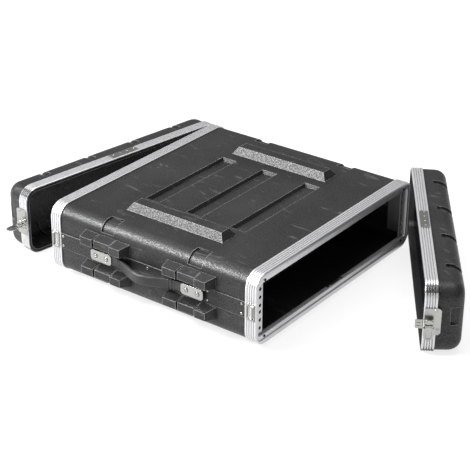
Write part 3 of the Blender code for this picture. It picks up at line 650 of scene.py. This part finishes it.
def bumpers(bm, shrink=0.0):
    """Three drafted blocks for each bumper on the sides."""
    wall = HALF - SHELL_INSET
    for side in (-1, 1):
        for y0, y1 in BUMPER_Y:
            # From, to, reach past the wall, and the slopes of the two ends.
            parts = (
                (y0, y0 + 32.7, 22.0, 9.0, 0.5),
                (y0 + 33.3, y0 + 72.0, 19.0, 1.0, 0.5),
                (y0 + 73.5, y1, 21.0, 1.0, 4.0),
            )
            for a, b, reach, lean_a, lean_b in parts:
                low = side * (wall - 2.0 - shrink)
                high = side * (wall + reach - shrink)
                root_z = [MID + BUMPER_ROOT_Z[0] + shrink, MID + BUMPER_ROOT_Z[1] - shrink]
                face_z = [MID + BUMPER_FACE_Z[0] + shrink, MID + BUMPER_FACE_Z[1] - shrink]
                root = (a + shrink, b - shrink, *root_z)
                face = (a + lean_a + shrink, b - lean_b - shrink, *face_z)
                tapered_block(bm, root, face, low, high, "X")


def shell_mesh():
    """Upper half of the sleeve; hollow bars and bumpers, recessed grooves and pockets."""
    y0, y1 = RIM_WALL + 3.0, DEPTH - RIM_WALL - 3.0
    body = drawn(lambda bm: prism(bm, shell_section(0.0, MID + 0.15), y0, y1, "Y"))
    body = boolean(body, drawn(bars), "UNION")
    body = boolean(body, drawn(bumpers), "UNION")
    void = drawn(lambda bm: prism(bm, shell_section(SKIN, MID - 5.0), y0 - 1, y1 + 1, "Y"))
    void = boolean(void, drawn(lambda bm: grooves(bm, SKIN)), "DIFFERENCE")
    void = boolean(void, drawn(lambda bm: edge_pockets(bm, SKIN)), "DIFFERENCE")
    void = boolean(void, drawn(lambda bm: bars(bm, SKIN)), "UNION")
    void = boolean(void, drawn(lambda bm: bumpers(bm, SKIN)), "UNION")
    body = boolean(body, void, "DIFFERENCE")
    body = boolean(body, drawn(grooves), "DIFFERENCE")
    return boolean(body, drawn(edge_pockets), "DIFFERENCE")


def build_shells():
    upper = shell_mesh()
    lower = upper.copy()
    bmesh.ops.scale(lower, vec=(1, 1, -1), verts=lower.verts)
    bmesh.ops.translate(lower, vec=(0, 0, HEIGHT), verts=lower.verts)
    for name, mesh in (("upper_shell", upper), ("lower_shell", lower)):
        piece(f"{name}_moulding", mesh, ABS, "case", [name], bevel=1.0, segments=3)
    for end in ENDS:
        node = f"{end}_lid_shell"
        # Turned in the mesh itself, so that the piece's own box fits its rounded back.
        stand = lid_pose(end)
        stand.translation /= MM
        shape = lid_shell_mesh()
        bmesh.ops.transform(shape, matrix=stand, verts=shape.verts)
        body = f"{end}_lid"
        piece(f"{node}_moulding", shape, ABS, body, [node], Matrix(), bevel=0.9, segments=3)


def lid_back(inset, radius, depth):
    """Rings from the lid's wall round its back edge to the flat of its back."""
    rings = []
    for step in range(CORNER_STEPS + 1):
        angle = math.radians(90) * step / CORNER_STEPS
        side = inset + BEND_INSET * (1 - math.cos(angle))
        y = -LID_BEND - (depth - LID_BEND) * math.sin(angle)
        rings.append((side, y, radius - BEND_RADIUS_LOSS * (1 - math.cos(angle))))
    return rings


def rings_at(bm, profile):
    """Closed body from (inset, Y, corner radius) rings."""
    rings = []
    for inset, y, radius in profile:
        rings.append([(x, y, z) for x, z in rounded_rectangle(HALF - inset, MID - inset, radius)])
    loft(bm, rings)


def notch_section(grow):
    """Outline, in Y and Z, of a notch that follows the lid's rounded back edge."""
    depth = NOTCH_DEPTH + grow
    start = -NOTCH_START + grow
    points = [(start, HEIGHT + 2.0), (start, HEIGHT - 2.4 - grow)]
    for step in range(CORNER_STEPS + 1):
        angle = math.radians(90) * step / CORNER_STEPS
        y = -LID_BEND - (LID_DEPTH - LID_BEND - depth) * math.sin(angle)
        points.append((y, HEIGHT - BEND_DROP + (BEND_INSET - depth) * math.cos(angle)))
    end_z = HEIGHT - NOTCH_END - grow
    outside = -LID_DEPTH - 4.0
    return points + [(-LID_DEPTH - 1.0 + grow, end_z), (outside, end_z), (outside, HEIGHT + 2.0)]


def lid_notches(bm, grow=0.0):
    """Notches along the long edges of a lid's back, and one in each side."""
    section = notch_section(grow)
    half = NOTCH_HALF + grow
    for x in NOTCH_X:
        prism(bm, section, x - half, x + half, "X")
        prism(bm, [(y, HEIGHT - z) for y, z in section], x - half, x + half, "X")
    floor = SHELL_INSET + SIDE_NOTCH_DEPTH + grow
    for side in (-1, 1):
        x = sorted((side * (HALF - floor), side * (HALF + 2)))
        y, z = ((low - grow, high + grow) for low, high in (SIDE_NOTCH_Y, SIDE_NOTCH_Z))
        box(bm, x, y, z)


def lid_shell_mesh():
    """Hollow lid moulding, with the notches' own walls inside."""
    outer = [(SHELL_INSET, -7.2, SHELL_RADIUS)]
    outer += lid_back(LID_INSET, LID_RADIUS, LID_DEPTH)
    inner = [(SHELL_INSET + SKIN, 2.0, SHELL_RADIUS - SKIN)]
    inner += lid_back(LID_INSET + SKIN, LID_RADIUS - SKIN, LID_DEPTH - SKIN)
    cavity = drawn(lambda bm: rings_at(bm, inner))
    cavity = boolean(cavity, drawn(lambda bm: lid_notches(bm, SKIN)), "DIFFERENCE")
    shape = boolean(drawn(lambda bm: rings_at(bm, outer)), cavity, "DIFFERENCE")
    return boolean(shape, drawn(lid_notches), "DIFFERENCE")


# ---- Side hardware ----
def build_joint_strips():
    """Strips over the seam of the sleeve, with their rivets."""
    for side, label in SIDES:
        x = HALF - SHELL_INSET + 0.3
        y0, y1 = BODY_BAND + 0.3, DEPTH - BODY_BAND - 0.3

        def strip(bm):
            flat = sorted((side * x, side * (x + STRIP_THICK)))
            box(bm, flat, (y0, y1), (BELT_Z - STRIP_HALF, BELT_Z + STRIP_HALF))

        name = f"joint_strip_{label}"
        piece(f"{name}_plate", drawn(strip), ABS, "case", [name], bevel=0.5)

        def rivets(bm):
            for y in STRIP_RIVETS:
                for z in (BELT_Z - 9.5, BELT_Z + 9.5):
                    turned(bm, "X", (y, z), dome_profile(x + STRIP_THICK, 2.5, 1.2), side)

        piece(f"{name}_rivets", drawn(rivets), STEEL, "case", [name])


def chamfered(half_y, half_z, cut):
    """Rectangle about the origin with its corners cut off."""
    return [
        (-half_y + cut, -half_z), (half_y - cut, -half_z), (half_y, -half_z + cut), (half_y, half_z - cut),
        (half_y - cut, half_z), (-half_y + cut, half_z), (-half_y, half_z - cut), (-half_y, -half_z + cut),
    ]


def build_handle_plates():
    """Plates that hold the strap ends, with two dimpled rivets each."""
    for side, label in SIDES:
        for end, centre in (("front", HANDLE_Y - PLATE_Y), ("rear", HANDLE_Y + PLATE_Y)):
            def plate(bm):
                outline = [(centre + a, BELT_Z + b) for a, b in chamfered(24.5, 10.75, 4.0)]
                prism(bm, outline, *sorted((side * PLATE_IN, side * PLATE_OUT)), "X")

            def dimples(bm):
                for offset in (-PLATE_RIVET, PLATE_RIVET):
                    dimple = [(259.3, 5.0), (261.5, 5.0)]
                    turned(bm, "X", (centre + offset, BELT_Z), dimple, side)

            def rivets(bm):
                profile = [
                    (253.8, 2.5), (259.15, 2.5), (259.15, 4.3), (260.2, 4.3), (260.9, 4.0),
                    (261.4, 3.3), (261.65, 2.2), (261.7, 1.2), (261.4, 1.0), (261.1, 0.6),
                ]
                for offset in (-PLATE_RIVET, PLATE_RIVET):
                    turned(bm, "X", (centre + offset, BELT_Z), profile, side)

            node = f"handle_plate_{label}_{end}"
            shape = boolean(drawn(plate), drawn(dimples), "DIFFERENCE")
            piece(f"{node}_pressed", shape, STEEL, "case", [node], bevel=0.35)
            piece(f"{node}_rivets", drawn(rivets), STEEL, "case", [node], angle=40.0)


def handle_section(station):
    """Rounded strap section at a distance from the handle's middle."""
    rise = 0.0
    if abs(station) < HANDLE_RUN:
        rise = 0.5 * (1 + math.cos(math.pi * station / HANDLE_RUN))
    inner = STRAP_IN + HANDLE_BOW * rise
    thick = 4.5 + 5.5 * rise ** 0.6
    tall = 9.75 - 0.35 * rise * math.cos(station * 0.3)
    ribs = max(0.0, 1 - abs(abs(station) - 62.0) / 15.0)
    swell = 0.75 * ribs * math.cos(station * 1.15)
    corner = min(thick / 2 - 0.2, 1.2 + 3.0 * rise ** 0.6)
    points = []
    for quadrant, (sx, sz) in enumerate(((1, 1), (-1, 1), (-1, -1), (1, -1))):
        for step in range(6):
            angle = math.radians(90) * (quadrant + step / 5)
            x = inner + thick / 2 + sx * (thick / 2 + swell - corner) + corner * math.cos(angle)
            z = sz * (tall + swell - corner) + corner * math.sin(angle)
            points.append((x, z))
    return points


def build_handles():
    """Ribbed rubber straps with slotted ends."""
    reach = PLATE_Y + STRAP_PAST_PLATE
    stations = [-reach, -reach + 0.6] + [-78.0 + 1.2 * i for i in range(131)] + [reach - 0.6, reach]
    for side, label in SIDES:
        def strap(bm):
            rings = []
            for station in stations:
                trim = 0.9 if abs(station) == reach else 1.0
                section = handle_section(station)
                rings.append([(side * x, HANDLE_Y + station, BELT_Z + z * trim) for x, z in section])
            loft(bm, rings)

        def slots(bm):
            for centre in (HANDLE_Y - PLATE_Y, HANDLE_Y + PLATE_Y):
                outline = []
                for end, start in ((1, -90), (-1, 90)):
                    for step in range(9):
                        angle = math.radians(start + 180 * step / 8)
                        y = centre + end * SLOT_HALF + SLOT_RADIUS * math.cos(angle)
                        outline.append((y, BELT_Z + SLOT_RADIUS * math.sin(angle)))
                prism(bm, outline, side * 250.0, side * 262.0, "X")

        shape = boolean(drawn(strap), drawn(slots), "DIFFERENCE")
        node = f"handle_{label}"
        piece(f"{node}_strap", shape, RUBBER, f"{label}_handle", [node], angle=40.0)


def build_keepers():
    """Plates beside the openings that carry the catch bars."""
    for end in ENDS:
        place = CASE if end == "front" else CASE @ REAR_MIRROR
        for side, label in SIDES:
            def plate(bm):
                outline = [
                    (2.5, -16.2), (17.5, -16.2), (20.0, -13.7), (20.0, 13.7), (17.5, 16.2), (2.5, 16.2),
                ]
                outline = [(a, BELT_Z + b) for a, b in outline]
                prism(bm, outline, *sorted((side * PLATED_IN, side * PLATED_OUT)), "X")

            def window(bm):
                x = sorted((side * 253.0, side * 257.0))
                box(bm, x, (3.8, 17.5), (BELT_Z - 11.0, BELT_Z + 11.0))

            def lugs(bm):
                outline = [(255.3, 3.9), (257.6, 3.9)]
                for degrees in range(-60, 61, 15):
                    angle = math.radians(degrees)
                    outline.append((256.6 + 1.8 * math.cos(angle), 6.7 + 2.8 * math.sin(angle)))
                outline += [(257.6, 9.5), (255.3, 9.5)]
                for low in (-13.0, 11.0):
                    prism(bm, [(side * a, b) for a, b in outline], BELT_Z + low, BELT_Z + low + 2.0, "Z")

            def rivets(bm):
                for z in (BELT_Z - 13.6, BELT_Z + 13.6):
                    turned(bm, "X", (15.5, z), dome_profile(PLATED_OUT, 1.9, 1.0), side)

            def bar(bm):
                profile = [(-10.7, 1.2), (-10.4, 1.5), (10.4, 1.5), (10.7, 1.2)]
                turned(bm, "Z", (side * CATCH_X, CATCH_Y), [(BELT_Z + z, r) for z, r in profile])

            node = f"{end}_keeper_{label}"
            shape = boolean(drawn(plate), drawn(window), "DIFFERENCE")
            shape = boolean(shape, drawn(lugs), "UNION")
            piece(f"{node}_plate", shape, STEEL, "case", [node], place, bevel=0.3)
            piece(f"{node}_rivets", drawn(rivets), STEEL, "case", [node], place)
            body = f"{end}_right_catch" if label == "right" else "case"
            bar_node = f"{end}_catch_bar_{label}"
            piece(f"{bar_node}_pin", drawn(bar), STEEL, body, [bar_node], place)


# ---- Rack rails ----
def build_rails():
    """Angle rails with two units of rack holes, and the screws beside the opening's corners."""
    for end in ENDS:
        place = CASE if end == "front" else CASE @ REAR_MIRROR
        for side, label in SIDES:
            def section(bm):
                outline = [
                    (225.5, RAIL_FACE), (241.5, RAIL_FACE), (241.5, 14.0), (246.0, 14.0),
                    (246.0, 44.0), (244.0, 44.0), (244.0, 16.0), (239.5, 16.0),
                    (239.5, RAIL_FACE + 2), (225.5, RAIL_FACE + 2),
                ]
                prism(bm, [(side * x, y) for x, y in outline], MID - 48.5, MID + 48.5, "Z")

            def holes(bm):
                drill = [(RAIL_FACE - 3, 3.4), (RAIL_FACE + 5, 3.4)]
                for offset in RACK_HOLES:
                    for z in (MID - offset, MID + offset):
                        turned(bm, "Y", (side * RACK_HOLE_SPAN / 2, z), drill)

            node = f"rack_rail_{end}_{label}"
            shape = boolean(drawn(section), drawn(holes), "DIFFERENCE")
            piece(f"{node}_drilled", shape, RAIL_METAL, "case", [node], place, bevel=0.3)
            for level, z in (("top", MID + SCREW_Z), ("bottom", MID - SCREW_Z)):
                def head(bm):
                    face = RIM_STEP - 0.3
                    profile = [
                        (face, 2.5), (face - 0.7, 2.45), (face - 1.1, 2.15), (face - 1.35, 1.6),
                        (face - 1.4, 1.1), (face - 1.0, 0.9), (face - 0.8, 0.3),
                    ]
                    turned(bm, "Y", (side * SCREW_X, z), profile)

                screw = f"rail_screw_{end}_{label}_{level}"
                shape = drawn(head)
                piece(f"{screw}_head", shape, DARK_STEEL, "case", [screw], place, angle=40.0)


# ---- Splice plates ----
def build_splices():
    """Plates where the rims' extrusions close: inside the sleeve's rims, outside the lids' rims."""
    for end in ENDS:
        place = CASE if end == "front" else CASE @ REAR_MIRROR

        def lower_plate(bm):
            box(bm, (-24.0, 24.0), (3.0, 9.5), (SPLICE_Z, SPLICE_Z + 1.2))

        def heads(bm):
            for x in (-16.0, 16.0):
                turned(bm, "Z", (x, 6.2), dome_profile(SPLICE_Z + 1.2, 2.2, 1.0))

        node = f"{end}_rim_splice"
        piece(f"{node}_plate", drawn(lower_plate), STEEL, "case", [node], place, bevel=0.3)
        piece(f"{node}_rivets", drawn(heads), STEEL, "case", [node], place)

        def upper_plate(bm):
            box(bm, (-33.5, 33.5), (-20.0, -4.5), (SPLICE_TOP, SPLICE_TOP + 1.0))

        def dents(bm):
            profile = [(SPLICE_TOP + 0.4, 1.7), (SPLICE_TOP + 0.6, 2.6), (SPLICE_TOP + 1.6, 3.2)]
            for x in (-27.0, -9.0, 9.0, 27.0):
                turned(bm, "Z", (x, -12.0), profile)

        node = f"{end}_lid_splice"
        shape = boolean(drawn(upper_plate), drawn(dents), "DIFFERENCE")
        piece(f"{node}_dented", shape, STEEL, f"{end}_lid", [node], lid_pose(end), bevel=0.3)


# ---- Butterfly latches ----
def build_latches():
    for end in ENDS:
        for side in (-1, 1):
            # The rear lid is turned end to end, so its sides swap names.
            lid_side = side if end == "front" else -side
            label = "left" if lid_side < 0 else "right"
            build_latch(end, side, label)


def build_latch(end, side, label):
    """One latch: base plate, hook drawn out by its rotor, and the folding wing."""
    pose = lid_pose(end)
    rest = pose @ Matrix.Translation((side * HOOK_DROP * MM, HOOK_DRAW * MM, 0))
    outside = HOOK_IN + HOOK_THICK
    tag = f"{end}_latch"

    def plate(bm):
        outline = [(-1.5, -25.8), (-26.0, -25.8), (-30.0, -21.8), (-30.0, 21.8), (-26.0, 25.8), (-1.5, 25.8)]
        outline = [(a, LATCH_Z + b) for a, b in outline]
        prism(bm, outline, *sorted((side * PLATED_IN, side * PLATED_OUT)), "X")

    def rivets(bm):
        for y, z in ((-20.5, LATCH_Z + 21.5), (-25.0, LATCH_Z - 15.0)):
            turned(bm, "X", (y, z), dome_profile(PLATED_OUT, 2.5, 1.2), side)

    node = f"{tag}_plate_{label}"
    piece(f"{node}_pressed", drawn(plate), STEEL, f"{end}_lid", [node], pose, bevel=0.4)
    piece(f"{node}_rivets", drawn(rivets), STEEL, f"{end}_lid", [node], pose)

    def hook(bm):
        outline = [(a - 6.25, LATCH_Z + b) for a, b in chamfered(16.25, 8.5, 1.8)]
        prism(bm, outline, *sorted((side * HOOK_IN, side * outside)), "X")

    def slot(bm):
        x = sorted((side * (HOOK_IN - 2), side * (outside + 2)))
        box(bm, x, (LATCH_Y - 6.3 - HOOK_DRAW, LATCH_Y + 6.3), (LATCH_Z - 6.3, LATCH_Z + 6.3))

    def claw(bm):
        x = sorted((side * (CATCH_X + 0.6), side * (HOOK_IN + 0.5)))
        box(bm, x, (CATCH_Y + 2.5, 9.95), (LATCH_Z - 6.5, LATCH_Z + 6.5))

    def slit(bm, height):
        x = sorted((side * (outside - 0.9), side * (outside + 1)))
        box(bm, x, (0.3, 6.8), (LATCH_Z + height - 0.8, LATCH_Z + height + 0.8))

    node = f"{tag}_hook_{label}"
    shape = boolean(boolean(drawn(hook), drawn(slot), "DIFFERENCE"), drawn(claw), "UNION")
    for height in (-3.0, 3.0):
        shape = boolean(shape, drawn(lambda bm: slit(bm, height)), "DIFFERENCE")
    piece(f"{node}_plate", shape, STEEL, f"{end}_{label}_hook", [node], rest, bevel=0.35)

    def rotor(bm):
        profile = [
            (256.1, 5.9), (DISC_X, 5.9), (DISC_X, 8.2), (DISC_X + 0.3, 8.5), (DISC_X + 1.0, 8.45),
            (DISC_X + 1.4, 8.0), (DISC_X + 1.15, 7.2), (DISC_X + 1.15, 3.0), (DISC_X + 1.35, 2.4),
        ]
        turned(bm, "X", (LATCH_Y, LATCH_Z), profile, side)

    def lugs(bm):
        x = sorted((side * (DISC_X + 0.8), side * (FOLD_X + 1.3)))
        for y in (-6.2, 4.3):
            box(bm, x, (LATCH_Y + y, LATCH_Y + y + 1.9), (FOLD_Z - 1.8, FOLD_Z + 1.8))

    node = f"{tag}_rotor_{label}"
    shape = boolean(drawn(rotor), drawn(lugs), "UNION")
    body = f"{end}_{label}_rotor"
    piece(f"{node}_turned", shape, STEEL, body, [node], pose, bevel=0.25, angle=40.0)

    # The rear left wing stands out at rest; the others lie flat.
    place = pose
    if end == "rear" and label == "left":
        fold = Matrix.Rotation(-side * math.radians(90), 4, "Y")
        shift = Matrix.Translation((side * FOLD_X * MM, 0, FOLD_Z * MM))
        place = pose @ shift @ fold @ shift.inverted()

    def barrel(bm):
        profile = [(-4.0, 1.3), (-3.7, 1.6), (3.7, 1.6), (4.0, 1.3)]
        turned(bm, "Y", (side * FOLD_X, FOLD_Z), [(LATCH_Y + y, r) for y, r in profile])

    def flap(bm):
        half = [
            (3.9, 0.0), (3.9, -2.6), (6.5, -3.4), (8.5, -5.0), (9.4, -8.5), (9.5, -12.0), (9.2, -17.0),
            (8.0, -22.0), (6.4, -25.0), (3.8, -26.7), (1.3, -27.0),
        ]
        outline = half + [(-a, b) for a, b in reversed(half)]
        outline = [(LATCH_Y + a, FOLD_Z + b) for a, b in outline]
        prism(bm, outline, side * (FOLD_X - 1.4), side * (FOLD_X + 0.2), "X")

    def dish(bm):
        half = [(3.9, 0.0), (8.5, -4.0), (9.5, -12.0), (8.0, -20.0), (3.8, -26.0)]
        outline = half + [(-a, b) for a, b in reversed(half)]
        outline = [(LATCH_Y + 0.62 * a, FOLD_Z - 6.5 + 0.68 * b) for a, b in outline]
        prism(bm, outline, *sorted((side * (FOLD_X - 0.6), side * (FOLD_X + 2.0))), "X")

    node = f"{tag}_wing_{label}"
    shape = boolean(boolean(drawn(barrel), drawn(flap), "UNION"), drawn(dish), "DIFFERENCE")
    body = f"{end}_{label}_wing"
    piece(f"{node}_thumb", shape, STEEL, body, [node], place, bevel=0.4, angle=40.0)


# ---- Floor, light and camera ----
def build_floor():
    bm = bmesh.new()
    bmesh.ops.create_grid(bm, x_segments=8, y_segments=8, size=30.0)
    mesh = bpy.data.meshes.new("studio_floor")
    bm.to_mesh(mesh)
    bm.free()
    floor = bpy.data.objects.new("studio_floor", mesh)
    bpy.context.collection.objects.link(floor)
    shader = Shader("studio_paper", (0.26, 0.26, 0.26), 0.9)
    shader.bump(shader.noise(60.0, 3.0), 0.03, 0.001)
    shader.surface.inputs["Emission Color"].default_value = (1, 1, 1, 1)
    shader.surface.inputs["Emission Strength"].default_value = 0.78
    mesh.materials.append(shader.material)


def area_light(name, place, aim, size, power):
    data = bpy.data.lights.new(name, "AREA")
    data.shape = "RECTANGLE"
    data.size, data.size_y = size
    data.energy = power
    light = bpy.data.objects.new(name, data)
    light.location = place
    light.rotation_euler = (Vector(aim) - Vector(place)).to_track_quat("-Z", "Y").to_euler()
    bpy.context.collection.objects.link(light)


def build_lights():
    world = bpy.data.worlds.new("studio")
    world.use_nodes = True
    background = world.node_tree.nodes["Background"]
    background.inputs["Color"].default_value = (1.0, 1.0, 1.0, 1.0)
    background.inputs["Strength"].default_value = 0.35
    bpy.context.scene.world = world
    bpy.context.scene.view_settings.view_transform = "Standard"
    area_light("softbox_left", (-1.9, 1.6, 1.9), (0.0, 0.0, 0.05), (1.3, 0.9), 200.0)
    area_light("softbox_top", (0.2, 0.3, 3.2), (0.0, 0.0, 0.0), (3.0, 3.0), 95.0)


def build_camera():
    azimuth, elevation, roll = (math.radians(angle) for angle in CAMERA_TURN)
    flat = math.cos(elevation)
    back = Vector((math.sin(azimuth) * flat, -math.cos(azimuth) * flat, math.sin(elevation)))
    level = Vector((math.cos(azimuth), math.sin(azimuth), 0.0))
    upright = back.cross(level)
    right = math.cos(roll) * level + math.sin(roll) * upright
    up = -math.sin(roll) * level + math.cos(roll) * upright
    data = bpy.data.cameras.new("studio_camera")
    data.sensor_width = 36.0
    data.lens = CAMERA_LENS
    data.clip_end = 100.0
    camera = bpy.data.objects.new("studio_camera", data)
    aim = case_origin() + Vector(CAMERA_AIM)
    place = aim + back * CAMERA_BACK + right * CAMERA_RIGHT - up * CAMERA_DOWN
    turn = Matrix((right, up, back)).transposed().to_4x4()
    camera.matrix_world = Matrix.Translation(place) @ turn
    bpy.context.collection.objects.link(camera)
    bpy.context.scene.camera = camera


build_shells()
build_rims()
build_joint_strips()
build_handle_plates()
build_handles()
build_keepers()
build_rails()
build_splices()
build_latches()
build_floor()
build_lights()
build_camera()
